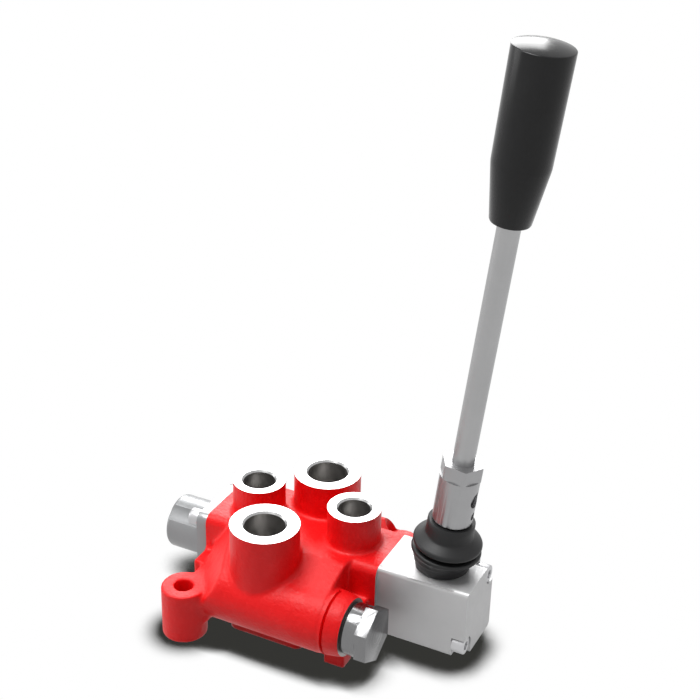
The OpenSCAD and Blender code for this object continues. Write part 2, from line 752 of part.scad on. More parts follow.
// Round hub with a hexagon at its top, a side hole and a small dimple below it
module lever_hub() {
    color("silver") on_lever() difference() {
        union() {
            translate([0, 0, hub_s0]) cylinder(h = hub_s1 - hub_hex_h - hub_s0, r = hub_r);
            intersection() {
                translate([0, 0, hub_s1 - hub_hex_h - eps])
                    rotate(30) cylinder(h = hub_hex_h + eps, d = hub_af / cos(30), $fn = 6);
                translate([0, 0, hub_s0]) cylinder(h = hub_s1 - hub_s0, r = hub_r);
            }
        }
        translate([0, 0, hub_s0 - eps]) cylinder(h = stem_top_s + 0.5 - hub_s0 + eps, r = stem_r + thread_gap);
        translate([0, 0, stem_top_s]) cylinder(h = 30, d = rod_d + 2 * thread_gap);
        translate([0, 0, hub_hole_s]) along_x() cylinder(h = 20, r = hub_hole_r);
        translate([hub_r - 0.6, 0, hub_hole_s - 9]) along_x() cylinder(h = 3, r = 2);
    }
}
lever_hub();

// Set screw at the bottom of the hub's side hole, which grips the rod
module hub_set_screw() {
    color("dimgray") on_lever(hub_hole_s) difference() {
        rod_x(rod_d / 2 + thread_gap, rod_d / 2 + 2.4, hub_hole_r - thread_gap);
        translate([rod_d / 2 + 1, 0, 0]) along_x() cylinder(h = 3, d = 4 / cos(30), $fn = 6);
    }
}
hub_set_screw();

module lever_rod() {
    color("silver") on_lever(rod_s0) cylinder(h = insert_s0 + insert_l - 2 - rod_s0, d = rod_d);
}
lever_rod();

// Moulded knob: a tapered neck, a long grip and a low dome
module lever_knob() {
    top_r = knob_d / 2;
    color("black") on_lever() difference() {
        rotate_extrude()
            polygon([[0, knob_s0], [knob_neck_r - 0.8, knob_s0], [knob_neck_r, knob_s0 + 0.8],
                     [knob_low_r - 0.3, knob_taper_s - 1], [knob_low_r, knob_taper_s],
                     [top_r, knob_top_s - 1.2], [top_r - 1.2, knob_top_s],
                     [top_r * 0.6, knob_top_s + knob_dome_h * 0.75], [0, knob_top_s + knob_dome_h]]);
        translate([0, 0, knob_s0 - eps]) cylinder(h = insert_s0 - knob_s0 + 2 * eps, d = rod_d + 0.3);
        translate([0, 0, insert_s0]) cylinder(h = insert_l, r = insert_r);
    }
}
lever_knob();

// Brass insert moulded into the knob, threaded for the rod
module knob_insert() {
    color("gold") on_lever(insert_s0) difference() {
        cylinder(h = insert_l, r = insert_r);
        translate([0, 0, -eps]) cylinder(h = insert_l - 1, d = rod_d + 2 * thread_gap);
    }
}
knob_insert();
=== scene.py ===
"""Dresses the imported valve: cast red body, spring cap, gallery plug and boxed hand lever."""

import json
import math

import bmesh
import bpy
from mathutils import Matrix, Vector


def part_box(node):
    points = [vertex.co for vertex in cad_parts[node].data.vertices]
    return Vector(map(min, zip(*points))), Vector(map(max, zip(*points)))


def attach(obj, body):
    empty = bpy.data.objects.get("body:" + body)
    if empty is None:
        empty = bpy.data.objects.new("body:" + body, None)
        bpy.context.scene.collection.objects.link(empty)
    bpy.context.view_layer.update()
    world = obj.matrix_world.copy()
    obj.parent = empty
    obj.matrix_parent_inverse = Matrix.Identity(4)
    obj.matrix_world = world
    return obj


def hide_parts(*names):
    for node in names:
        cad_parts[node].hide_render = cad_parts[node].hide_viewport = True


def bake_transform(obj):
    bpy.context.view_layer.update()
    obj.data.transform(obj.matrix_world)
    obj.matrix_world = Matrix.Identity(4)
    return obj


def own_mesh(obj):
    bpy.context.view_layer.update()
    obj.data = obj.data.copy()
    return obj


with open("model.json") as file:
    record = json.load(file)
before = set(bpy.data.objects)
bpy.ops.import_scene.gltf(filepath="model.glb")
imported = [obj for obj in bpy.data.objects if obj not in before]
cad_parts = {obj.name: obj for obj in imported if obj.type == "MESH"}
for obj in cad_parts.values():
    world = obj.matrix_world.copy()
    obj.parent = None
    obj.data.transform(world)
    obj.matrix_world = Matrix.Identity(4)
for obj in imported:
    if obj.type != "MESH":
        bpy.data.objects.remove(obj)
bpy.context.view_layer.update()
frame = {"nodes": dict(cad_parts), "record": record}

MM = 0.001
RECORD = frame["record"]
MOUNTS = {m["name"]: m for m in RECORD["mounts"]}

# The photograph's camera: degrees round the object, above the horizon and of roll,
# and its place in metres
CAMERA_AZIMUTH = 25.93
CAMERA_ELEVATION = 27.19
CAMERA_ROLL = 1.43
CAMERA_PLACE = (0.2698, -0.5114, 0.4348)
LENS = 74.38
CAMERA_SHIFT = 0.0017
SENSOR = 36.0

# Places that several pieces share, in millimetres
SPOOL_Z = 26.0
GALLERY_Y = -36.0
GALLERY_Z = 23.25
PORT_FACE_Z = 62.0
HOUSING_END_X = 45.5
COLLAR_END_X = 42.5
PIVOT = Vector((71.0, 0.0, 41.5))
LEAN = math.radians(6.4)
QUARTER = math.radians(90)

# Turns a piece that is made upright: along the spool, or onto the pivot and along the lever
ALONG_X = Matrix.Rotation(QUARTER, 4, "Y")
LEVER = Matrix.Translation(PIVOT) @ Matrix.Rotation(LEAN, 4, "Y")


# Mesh helpers. Every bmesh is in millimetres until it becomes a piece.


def bm_from(*parts):
    """One bmesh that holds all the given ones."""
    whole = bmesh.new()
    for part in parts:
        mesh = bpy.data.meshes.new("part")
        part.to_mesh(mesh)
        part.free()
        whole.from_mesh(mesh)
        bpy.data.meshes.remove(mesh)
    return whole


def lathe(profile, segments=128):
    """Solid of revolution round Z through (radius, height) points, from bottom to top."""
    bm = bmesh.new()
    verts = [bm.verts.new((r, 0, z)) for r, z in profile]
    edges = [bm.edges.new(pair) for pair in zip(verts, verts[1:])]
    bmesh.ops.spin(
        bm,
        geom=verts + edges,
        cent=(0, 0, 0),
        axis=(0, 0, 1),
        angle=math.tau,
        steps=segments,
        use_merge=True,
    )
    bmesh.ops.remove_doubles(bm, verts=bm.verts, dist=1e-4)
    bmesh.ops.recalc_face_normals(bm, faces=bm.faces)
    return bm


def rod(radius, z0, z1, segments=96, chamfer=0.0):
    """Cylinder along Z, with its two rims taken off by chamfer."""
    if not chamfer:
        return lathe([(0, z0), (radius, z0), (radius, z1), (0, z1)], segments)
    inner = radius - chamfer
    profile = [
        (0, z0), (inner, z0), (radius, z0 + chamfer), (radius, z1 - chamfer), (inner, z1), (0, z1),
    ]
    return lathe(profile, segments)


def block(low, high):
    """Box between two corners."""
    bm = bmesh.new()
    size = Vector(high) - Vector(low)
    place = Matrix.Translation((Vector(high) + Vector(low)) / 2)
    bmesh.ops.create_cube(bm, size=1, matrix=place @ Matrix.Diagonal((*size, 1)))
    return bm


def hexagon(across_flats, z0, z1):
    """Hexagonal bar along Z. Its corners lie at 0, 60, ... degrees."""
    corner_r = across_flats / math.sqrt(3)
    bm = bmesh.new()
    bmesh.ops.create_cone(
        bm,
        cap_ends=True,
        segments=6,
        radius1=corner_r,
        radius2=corner_r,
        depth=z1 - z0,
        matrix=at(0, 0, (z0 + z1) / 2) @ Matrix.Rotation(math.radians(30), 4, "Z"),
    )
    return bm


def moved(bm, matrix):
    """The same bmesh, moved and turned by matrix."""
    bmesh.ops.transform(bm, matrix=matrix, verts=bm.verts)
    return bm


def at(x, y, z):
    return Matrix.Translation((x, y, z))


def runs_along_x(edge):
    return abs(edge.verts[0].co.x - edge.verts[1].co.x) > 1


def bevel_edges(bm, chosen, offset, segments):
    """Rounds off the edges for which chosen(edge) holds."""
    edges = [e for e in bm.edges if chosen(e)]
    bmesh.ops.bevel(
        bm,
        geom=edges,
        offset=offset,
        segments=segments,
        profile=0.5,
        affect="EDGES",
        material=-1,
        clamp_overlap=True,
    )
    return bm


def scratch(bm, name="scratch"):
    """Object in the scene for a bmesh, still in millimetres."""
    mesh = bpy.data.meshes.new(name)
    bm.to_mesh(mesh)
    bm.free()
    obj = bpy.data.objects.new(name, mesh)
    bpy.context.scene.collection.objects.link(obj)
    return obj


def drop(obj):
    mesh = obj.data
    bpy.data.objects.remove(obj)
    bpy.data.meshes.remove(mesh)


def evaluated(obj):
    """bmesh of an object with its modifiers applied. The object itself is removed."""
    bpy.context.view_layer.update()
    done = obj.evaluated_get(bpy.context.evaluated_depsgraph_get())
    bm = bmesh.new()
    bm.from_mesh(done.data)
    drop(obj)
    return bm


def combined(bm, other, operation):
    """Boolean of two solids: UNION, DIFFERENCE or INTERSECT."""
    target, tool = scratch(bm), scratch(other, "tool")
    modifier = target.modifiers.new("join", "BOOLEAN")
    modifier.operation = operation
    modifier.solver = "MANIFOLD"
    modifier.object = tool
    result = evaluated(target)
    drop(tool)
    return result


def rounded(bm, width, segments=2, angle=35):
    """All edges sharper than angle, rounded off."""
    target = scratch(bm)
    modifier = target.modifiers.new("round", "BEVEL")
    modifier.width = width
    modifier.segments = segments
    modifier.limit_method = "ANGLE"
    modifier.angle_limit = math.radians(angle)
    modifier.use_clamp_overlap = True
    return evaluated(target)


def piece(name, bm, body, materials, replaced=(), sharp=30):
    """Makes a bmesh a finished piece of the object. A piece without a body is attached to none."""
    bmesh.ops.scale(bm, vec=(MM, MM, MM), verts=bm.verts)
    mesh = bpy.data.meshes.new(name)
    bm.to_mesh(mesh)
    bm.free()
    for material in materials:
        mesh.materials.append(material)
    mesh.polygons.foreach_set("use_smooth", [True] * len(mesh.polygons))
    mesh.set_sharp_from_angle(angle=math.radians(sharp))
    obj = bpy.data.objects.new(name, mesh)
    bpy.context.scene.collection.objects.link(obj)
    if body:
        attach(obj, body)
    if replaced:
        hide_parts(*replaced)
    return obj


# Node groups that several finishes share


def group(name, inputs, outputs):
    tree = bpy.data.node_groups.new(name, "ShaderNodeTree")
    for label, kind, value in inputs:
        socket = tree.interface.new_socket(label, in_out="INPUT", socket_type=kind)
        socket.default_value = value
    for label, kind in outputs:
        tree.interface.new_socket(label, in_out="OUTPUT", socket_type=kind)
    return tree, tree.nodes.new("NodeGroupInput"), tree.nodes.new("NodeGroupOutput")


def add(tree, kind, **values):
    """Node with properties by name, and inputs by name where the value is meant for a socket."""
    node = tree.nodes.new(kind)
    for key, value in values.items():
        if hasattr(node, key):
            setattr(node, key, value)
        else:
            node.inputs[key.replace("_", " ")].default_value = value
    return node


def math_node(tree, operation, a, b=None):
    node = tree.nodes.new("ShaderNodeMath")
    node.operation = operation
    for socket, value in zip(node.inputs, (a, b)):
        if isinstance(value, bpy.types.NodeSocket):
            tree.links.new(value, socket)
        elif value is not None:
            socket.default_value = value
    return node.outputs[0]


def remap(tree, value, low, high, to_low=0.0, to_high=1.0):
    """Stretches low to high over to_low to to_high."""
    node = tree.nodes.new("ShaderNodeMapRange")
    tree.links.new(value, node.inputs["Value"])
    limits = {"From Min": low, "From Max": high, "To Min": to_low, "To Max": to_high}
    for key, number in limits.items():
        node.inputs[key].default_value = number
    return node.outputs["Result"]


def cast_grain_group():
    """Fine pebbled skin of a sand or die casting, with broad unevenness under it."""
    tree, inside, outside = group(
        "Cast grain",
        [("Vector", "NodeSocketVector", (0, 0, 0)), ("Grain size", "NodeSocketFloat", 1.0)],
        [("Height", "NodeSocketFloat"), ("Mask", "NodeSocketFloat")],
    )
    link = tree.links.new
    fine_scale = math_node(tree, "DIVIDE", 1400.0, inside.outputs["Grain size"])
    broad_scale = math_node(tree, "DIVIDE", 160.0, inside.outputs["Grain size"])
    fine = add(tree, "ShaderNodeTexNoise", Detail=3.0, Roughness=0.6)
    broad = add(tree, "ShaderNodeTexNoise", Detail=2.0, Roughness=0.5)
    for node, scale in ((fine, fine_scale), (broad, broad_scale)):
        link(inside.outputs["Vector"], node.inputs["Vector"])
        link(scale, node.inputs["Scale"])
    weighted = math_node(tree, "MULTIPLY", fine.outputs["Fac"], 0.55)
    link(math_node(tree, "ADD", weighted, broad.outputs["Fac"]), outside.inputs["Height"])
    link(broad.outputs["Fac"], outside.inputs["Mask"])
    return tree


def turning_group():
    """Concentric marks round the vector's Z axis, as a lathe or a facing cutter leaves them."""
    tree, inside, outside = group(
        "Turning marks",
        [("Vector", "NodeSocketVector", (0, 0, 0)), ("Pitch", "NodeSocketFloat", 0.3)],
        [("Height", "NodeSocketFloat"), ("Mask", "NodeSocketFloat")],
    )
    link = tree.links.new
    split = add(tree, "ShaderNodeSeparateXYZ")
    link(inside.outputs["Vector"], split.inputs[0])
    x2 = math_node(tree, "MULTIPLY", split.outputs[0], split.outputs[0])
    y2 = math_node(tree, "MULTIPLY", split.outputs[1], split.outputs[1])
    radius = math_node(tree, "SQRT", math_node(tree, "ADD", x2, y2))
    along = math_node(tree, "ADD", radius, split.outputs[2])
    scaled = math_node(tree, "DIVIDE", along, inside.outputs["Pitch"])
    rings = add(tree, "ShaderNodeTexNoise", noise_dimensions="1D", Scale=1000.0, Detail=2.0)
    link(scaled, rings.inputs["W"])
    link(rings.outputs["Fac"], outside.inputs["Height"])
    link(rings.outputs["Fac"], outside.inputs["Mask"])
    return tree


def smudge_group():
    """Slow change of gloss and tone, as handling and light dust leave on any finish."""
    tree, inside, outside = group(
        "Smudges",
        [("Vector", "NodeSocketVector", (0, 0, 0)), ("Scale", "NodeSocketFloat", 60.0)],
        [("Mask", "NodeSocketFloat")],
    )
    noise = add(tree, "ShaderNodeTexNoise", Detail=5.0, Roughness=0.6, Distortion=0.4)
    tree.links.new(inside.outputs["Vector"], noise.inputs["Vector"])
    tree.links.new(inside.outputs["Scale"], noise.inputs["Scale"])
    tree.links.new(remap(tree, noise.outputs["Fac"], 0.3, 0.7), outside.inputs["Mask"])
    return tree


GRAIN = cast_grain_group()
TURNING = turning_group()
SMUDGE = smudge_group()


def new_material(name):
    material = bpy.data.materials.new(name)
    material.use_nodes = True
    tree = material.node_tree
    return material, tree, tree.nodes["Principled BSDF"]


def place_group(tree, node_group, vector, **values):
    node = tree.nodes.new("ShaderNodeGroup")
    node.node_tree = node_group
    tree.links.new(vector, node.inputs["Vector"])
    for key, value in values.items():
        node.inputs[key.replace("_", " ")].default_value = value
    return node


def local_vector(tree, place=(0, 0, 0), turn=(0, 0, 0)):
    """Object coordinates, moved and turned so that Z is a piece's own axis."""
    coords = tree.nodes.new("ShaderNodeTexCoord")
    mapping = tree.nodes.new("ShaderNodeMapping")
    mapping.vector_type = "TEXTURE"
    mapping.inputs["Location"].default_value = place
    mapping.inputs["Rotation"].default_value = turn
    tree.links.new(coords.outputs["Object"], mapping.inputs["Vector"])
    return mapping.outputs["Vector"]


def tinted(tree, low, high, mask):
    mix = tree.nodes.new("ShaderNodeMix")
    mix.data_type = "RGBA"
    mix.inputs["A"].default_value = (*low, 1)
    mix.inputs["B"].default_value = (*high, 1)
    tree.links.new(mask, mix.inputs["Factor"])
    return mix.outputs["Result"]


def bumped(tree, bsdf, height, strength, distance):
    bump = tree.nodes.new("ShaderNodeBump")
    bump.inputs["Strength"].default_value = strength
    bump.inputs["Distance"].default_value = distance
    tree.links.new(height, bump.inputs["Height"])
    tree.links.new(bump.outputs["Normal"], bsdf.inputs["Normal"])


def paint_finish():
    """Semi-gloss red enamel over cast iron."""
    material, tree, bsdf = new_material("red enamel")
    vector = local_vector(tree)
    grain = place_group(tree, GRAIN, vector, Grain_size=2.2)
    smudge = place_group(tree, SMUDGE, vector, Scale=45.0)
    colour = tinted(tree, (0.78, 0.003, 0.004), (0.86, 0.006, 0.008), smudge.outputs["Mask"])
    tree.links.new(colour, bsdf.inputs["Base Color"])
    rough = remap(tree, grain.outputs["Mask"], 0.3, 0.7, 0.36, 0.50)
    tree.links.new(rough, bsdf.inputs["Roughness"])
    bsdf.inputs["Specular IOR Level"].default_value = 0.3
    bumped(tree, bsdf, grain.outputs["Height"], 0.9, 0.0006)
    return material


def metal_finish(name, tone, roughness, axis=((0, 0, 0), (0, 0, 0)), pitch=0.3):
    """Turned or ground metal with tool marks round the piece's own axis."""
    material, tree, bsdf = new_material(name)
    vector = local_vector(tree, *axis)
    marks = place_group(tree, TURNING, vector, Pitch=pitch)
    smudge = place_group(tree, SMUDGE, vector, Scale=70.0)
    darker = tuple(0.93 * c for c in tone)
    tree.links.new(tinted(tree, darker, tone, smudge.outputs["Mask"]), bsdf.inputs["Base Color"])
    rough = remap(tree, marks.outputs["Mask"], 0.3, 0.7, roughness * 0.9, roughness * 1.15)
    tree.links.new(rough, bsdf.inputs["Roughness"])
    bsdf.inputs["Metallic"].default_value = 1.0
    bumped(tree, bsdf, marks.outputs["Height"], 0.05, 0.0001)
    return material


def casting_alloy_finish(name, tone, roughness, metallic):
    """Bead-blasted die casting, whose dull skin hides most of what it would mirror."""
    material, tree, bsdf = new_material(name)
    vector = local_vector(tree)
    grain = place_group(tree, GRAIN, vector, Grain_size=0.6)
    smudge = place_group(tree, SMUDGE, vector, Scale=50.0)
    darker = tuple(0.94 * c for c in tone)
    tree.links.new(tinted(tree, darker, tone, smudge.outputs["Mask"]), bsdf.inputs["Base Color"])
    rough = remap(tree, grain.outputs["Mask"], 0.3, 0.7, roughness - 0.04, roughness + 0.05)
    tree.links.new(rough, bsdf.inputs["Roughness"])
    bsdf.inputs["Metallic"].default_value = metallic
    bumped(tree, bsdf, grain.outputs["Height"], 0.12, 0.0002)
    return material


def dark_finish(name, tone, roughness, grain_size, depth, gloss=0.5):
    """Moulded black rubber or plastic."""
    material, tree, bsdf = new_material(name)
    bsdf.inputs["Specular IOR Level"].default_value = gloss
    vector = local_vector(tree)
    grain = place_group(tree, GRAIN, vector, Grain_size=grain_size)
    smudge = place_group(tree, SMUDGE, vector, Scale=80.0)
    lighter = tuple(1.25 * c for c in tone)
    tree.links.new(tinted(tree, tone, lighter, smudge.outputs["Mask"]), bsdf.inputs["Base Color"])
    rough = remap(tree, smudge.outputs["Mask"], 0.0, 1.0, roughness - 0.03, roughness + 0.04)
    tree.links.new(rough, bsdf.inputs["Roughness"])
    bumped(tree, bsdf, grain.outputs["Height"], depth, 0.0002)
    return material


# Axes of turned pieces, as a place in metres and a turn
PLUG_AXIS = (Vector((0, GALLERY_Y, GALLERY_Z)) * MM, (0, QUARTER, 0))
SPOOL_AXIS = (Vector((0, 0, SPOOL_Z)) * MM, (0, QUARTER, 0))
LEVER_AXIS = (PIVOT * MM, (0, LEAN, 0))

PAINT = paint_finish()
PORT_FACE = metal_finish("machined iron face", (0.60, 0.60, 0.60), 0.30, pitch=0.25)
# Painted shade: the rim and the bore are the face's machined iron made darker, standing for the
# shade on the chamfer and inside the bore
SHADED_PORT_RIM = metal_finish("chamfered port rim, painted shade", (0.42, 0.42, 0.42), 0.25, pitch=0.25)
SHADED_PORT_BORE = metal_finish("tapped iron bore, painted shade", (0.36, 0.35, 0.34), 0.36, pitch=0.5)
ALLOY = casting_alloy_finish("die-cast alloy", (0.56, 0.56, 0.563), 0.45, 0.4)
CAP_ALLOY = casting_alloy_finish("darker cap alloy", (0.28, 0.285, 0.29), 0.36, 0.7)
PLATED = metal_finish("bright zinc plate", (0.20, 0.20, 0.203), 0.24, PLUG_AXIS)
SCREW_STEEL = metal_finish("zinc plated screws", (0.50, 0.50, 0.51), 0.36)
LEVER_STEEL = metal_finish("turned lever steel", (0.34, 0.34, 0.345), 0.34, LEVER_AXIS, 0.2)
ROD_STEEL = metal_finish("drawn rod steel", (0.38, 0.38, 0.383), 0.36, LEVER_AXIS, 0.4)
HARD_STEEL = metal_finish("ground hard steel", (0.50, 0.51, 0.53), 0.2, SPOOL_AXIS)
WIRE = metal_finish("spring wire", (0.42, 0.42, 0.44), 0.3)
BRASS = metal_finish("turned brass", (0.80, 0.58, 0.25), 0.25, LEVER_AXIS)
BOOT_RUBBER = dark_finish("moulded boot rubber", (0.010, 0.010, 0.0105), 0.45, 0.5, 0.10, 0.32)
SEAL_RUBBER = dark_finish("seal rubber", (0.012, 0.012, 0.012), 0.45, 0.4, 0.05)
KNOB_PLASTIC = dark_finish("moulded knob plastic", (0.012, 0.012, 0.0125), 0.2, 0.4, 0.02, 0.22)
ACETAL = dark_finish("machined acetal", (0.70, 0.68, 0.60), 0.4, 0.5, 0.03)

SLOT_FINISH = {
    "red_paint": PAINT,
    "plated_steel": SCREW_STEEL,
    "hard_steel": HARD_STEEL,
    "spring_steel": WIRE,
    "cast_aluminium": ALLOY,
    "hub_steel": LEVER_STEEL,
    "seal_rubber": SEAL_RUBBER,
    "boot_rubber": BOOT_RUBBER,
    "seat_plastic": ACETAL,
    "knob_plastic": KNOB_PLASTIC,
    "insert_brass": BRASS,
}


def finish_cad_nodes():
    """Every CAD node takes the finish of its slot. The visible ones are replaced further on."""
    for part in RECORD["subparts"]:
        mesh = frame["nodes"][part["node"]].data
        mesh.materials.clear()
        mesh.materials.append(SLOT_FINISH[part["material_slot"]])


# The casting

# Ports as (mount name, boss radius, thread length, core radius), in millimetres
PORTS = [
    ("work_port_a", 12.75, 13.0, 5.5),
    ("work_port_b", 12.75, 13.0, 5.5),
    ("inlet_port", 16.3, 15.0, 7.0),
    ("outlet_port", 16.3, 15.0, 7.0),
]
PORT_CHAMFER = 0.9
CORE_DEPTH = 9.0
# The spool's housing: half its width, how far it reaches below and above the spool, its corners
HOUSING_HALF_W = 17.5
HOUSING_BELOW = 17.4
HOUSING_ABOVE = 18.3
CORNER_R = 4.4
# How deep a solid block fills each end of the spool's bore, and the face cut across that end
END_DEPTH = 14.0
END_CUT = ((-19, 2), (19, 47))
# The collar of the inlet gallery, the cut across its face, and where the plug's thread begins
COLLAR_R = 13.6
COLLAR_CUT_R = 14.0
THREAD_X = 27.0
# The load check valve's bore in the mounting face
CHECK_Y = -14.0
CHECK_BORE_R = 7.6
CHECK_BORE_Z = (1.2, 12.0)
# The parting groove beside the collar: its place, and its radius and half width at floor and mouth
GROOVE_X = 34.7
GROOVE_FLOOR = (13.1, 0.1)
GROOVE_MOUTH = (15.5, 0.8)
EAR_TOP = 26.0
SPOT_FACE_R = 8.4

# How far machined faces are left long before they are cut, and how far cutters reach past that
STOCK = 4.0
OVERCUT = 2.0
CAST_VOXEL = 0.6
CAST_SHARE = 0.7
FILLET = 0.7
# Where the feet of the port bosses are smoothed: heights, and reach outwards from the boss
FOOT_Z = (24, 50)
FOOT_REACH = 3.0


def mount_place(name):
    x, y, _ = MOUNTS[name]["pos_m"]
    return x / MM, y / MM


def along_gallery(bm):
    """Puts an upright piece on the axis of the inlet gallery."""
    return moved(bm, at(0, GALLERY_Y, GALLERY_Z) @ ALONG_X)


def at_housing_end(side, inner_x, outer_x, low, high):
    """Box at one end of the spool's housing, between two distances from the middle."""
    x0, x1 = sorted((side * inner_x, side * outer_x))
    return block((x0, *low), (x1, *high))


def cast_stock():
    """The casting as it leaves the mould, solid and with extra metal on machined faces."""
    copy = bmesh.new()
    copy.from_mesh(frame["nodes"]["valve_casting"].data)
    bmesh.ops.scale(copy, vec=(1 / MM, 1 / MM, 1 / MM), verts=copy.verts)
    bmesh.ops.remove_doubles(copy, verts=copy.verts, dist=1e-3)
    parts = [copy]
    for name, boss_r, thread_l, _ in PORTS:
        boss = rod(boss_r, PORT_FACE_Z - thread_l - CORE_DEPTH, PORT_FACE_Z + STOCK)
        parts.append(moved(boss, at(*mount_place(name), 0)))
    for side in (-1, 1):
        low = (-HOUSING_HALF_W, SPOOL_Z - HOUSING_BELOW)
        high = (HOUSING_HALF_W, SPOOL_Z + HOUSING_ABOVE)
        bar = at_housing_end(side, HOUSING_END_X - END_DEPTH, HOUSING_END_X + STOCK, low, high)
        parts.append(bevel_edges(bar, runs_along_x, CORNER_R, 6))
    parts.append(along_gallery(rod(COLLAR_R, THREAD_X, COLLAR_END_X + STOCK)))
    parts.append(moved(rod(CHECK_BORE_R, *CHECK_BORE_Z), at(0, CHECK_Y, 0)))
    return bm_from(*parts)


def outer_shell(bm):
    """Removes everything that isn't joined to the lowest point of the outside."""
    front = [min(bm.verts, key=lambda v: v.co.z)]
    keep = set(front)
    while front:
        near = [e.other_vert(v) for v in front for e in v.link_edges]
        front = []
        for v in near:
            if v not in keep:
                keep.add(v)
                front.append(v)
    bmesh.ops.delete(bm, geom=[v for v in bm.verts if v not in keep], context="VERTS")


def add_remesh(obj):
    modifier = obj.modifiers.new("skin", "REMESH")
    modifier.mode = "VOXEL"
    modifier.voxel_size = CAST_VOXEL


def swell(obj, amount):
    """Moves the skin outwards. Out and back in again leaves a fillet in every inside corner."""
    modifier = obj.modifiers.new("swell", "DISPLACE")
    modifier.strength = amount
    modifier.mid_level = 0


def thinned(bm, ratio):
    """Fewer faces, mostly taken from where the skin is flat."""
    target = scratch(bm)
    modifier = target.modifiers.new("thin", "DECIMATE")
    modifier.ratio = ratio
    return evaluated(target)


def smoothed(bm, rounds, share=None):
    """Relaxes the mesh, everywhere or as much as share(place) says, from 0 to 1."""
    target = scratch(bm)
    modifier = target.modifiers.new("relax", "SMOOTH")
    modifier.factor = 0.5
    modifier.iterations = rounds
    if share:
        area = target.vertex_groups.new(name="area")
        for v in target.data.vertices:
            weight = share(v.co)
            if weight > 0:
                area.add([v.index], weight, "REPLACE")
        modifier.vertex_group = "area"
    return evaluated(target)


def at_boss_foot(p):
    """How much a place belongs to the fillet at the foot of a port boss."""
    if not FOOT_Z[0] < p.z < FOOT_Z[1]:
        return 0
    best = 0
    for name, boss_r, _, _ in PORTS:
        x, y = mount_place(name)
        out = math.hypot(p.x - x, p.y - y) - boss_r
        if -1.2 < out < FOOT_REACH:
            best = max(best, 1 - max(out - 0.5, 0) / FOOT_REACH)
    return best


def port_cutter(boss_r, thread_r, thread_l, core_r):
    """Takes the extra metal off a boss and cuts its chamfered port, with a drill's cone below."""
    z = PORT_FACE_Z
    top = z + STOCK + OVERCUT
    profile = [
        (0, z - thread_l - CORE_DEPTH - 3),
        (core_r, z - thread_l - CORE_DEPTH),
        (core_r, z - thread_l - 1.5),
        (thread_r, z - thread_l),
        (thread_r, z - PORT_CHAMFER),
        (thread_r + PORT_CHAMFER, z),
        (boss_r + OVERCUT, z),
        (boss_r + OVERCUT, top),
        (0, top),
    ]
    return lathe(profile, 96)


def collar_groove():
    """The parting groove beside the collar, cut into the near half of the gallery."""
    (floor_r, floor_w), (mouth_r, mouth_w) = GROOVE_FLOOR, GROOVE_MOUTH
    profile = [
        (floor_r, GROOVE_X - floor_w),
        (mouth_r, GROOVE_X - mouth_w),
        (mouth_r, GROOVE_X + mouth_w),
        (floor_r, GROOVE_X + floor_w),
        (floor_r, GROOVE_X - floor_w),
    ]
    near_half = block((GROOVE_X - 3, GALLERY_Y - 24, 0), (GROOVE_X + 3, GALLERY_Y + 5, 60))
    return combined(along_gallery(lathe(profile, 144)), near_half, "INTERSECT")


def rear_ear_opening():
    """The rear ear's bolt hole and the spot face of the bolt's head, cut into the sloping lobe."""
    hole_r = MOUNTS["rear_ear_hole"]["dims"]["r_mm"]
    below, above = -1, 60
    profile = [
        (0, below), (hole_r, below), (hole_r, EAR_TOP),
        (SPOT_FACE_R, EAR_TOP), (SPOT_FACE_R, above), (0, above),
    ]
    return moved(lathe(profile, 96), at(*mount_place("rear_ear_hole"), 0))


def machined_finish(place):
    """Which of the casting's finishes a cut face gets: machined face, tapped bore with painted
    shade, or rim with painted shade.
    """
    if abs(place.x) >= HOUSING_END_X or place.z >= PORT_FACE_Z - 0.01:
        return 1
    return 2 if place.z < PORT_FACE_Z - PORT_CHAMFER else 3


def machining():
    """Everything that is cut off the casting's ports, housing ends and collar."""
    cutters = []
    for name, boss_r, thread_l, core_r in PORTS:
        port = port_cutter(boss_r, MOUNTS[name]["dims"]["r_mm"], thread_l, core_r)
        cutters.append(moved(port, at(*mount_place(name), 0)))
    for side in (-1, 1):
        outer_x = HOUSING_END_X + STOCK + OVERCUT
        cutters.append(at_housing_end(side, HOUSING_END_X, outer_x, *END_CUT))
    cutters.append(along_gallery(rod(COLLAR_CUT_R, COLLAR_END_X, COLLAR_END_X + STOCK + OVERCUT)))
    cutter = bm_from(*cutters)
    for face in cutter.faces:
        face.material_index = machined_finish(face.calc_center_median())
    return cutter


def casting():
    """Cast iron body: a voxel skin swollen and shrunk for its fillets, then machined."""
    solid = scratch(cast_stock(), "stock")
    add_remesh(solid)
    swell(solid, FILLET)
    add_remesh(solid)
    swell(solid, -FILLET)
    add_remesh(solid)
    bm = evaluated(solid)
    outer_shell(bm)
    bm = thinned(bm, CAST_SHARE)
    bm = smoothed(bm, 4)
    bm = smoothed(bm, 5, at_boss_foot)
    for cutter in (collar_groove(), rear_ear_opening(), machining()):
        bm = combined(bm, cutter, "DIFFERENCE")
    finishes = [PAINT, PORT_FACE, SHADED_PORT_BORE, SHADED_PORT_RIM]
    piece("casting_skin", bm, "valve_body", finishes, ["valve_casting"], sharp=40)


# Springs inside the valve

# Springs as (node, wire radius, turns, axis, end that stays, joint, how much it shortens)
SPRINGS = [
    ("relief_spring", 0.8, 8, "X", "high", "relief_lift", 2.0),
    ("check_spring", 0.5, 4, "Z", "low", "check_lift", 2.0),
    ("centring_spring", 0.65, 3, "X", "high", "spool_slide", 4.9),
]
# The direction of a spring's axis, and what turns an upright coil onto it
SPRING_AXES = {
    "X": (Vector((1, 0, 0)), ALONG_X),
    "Z": (Vector((0, 0, 1)), Matrix.Identity(4)),
}


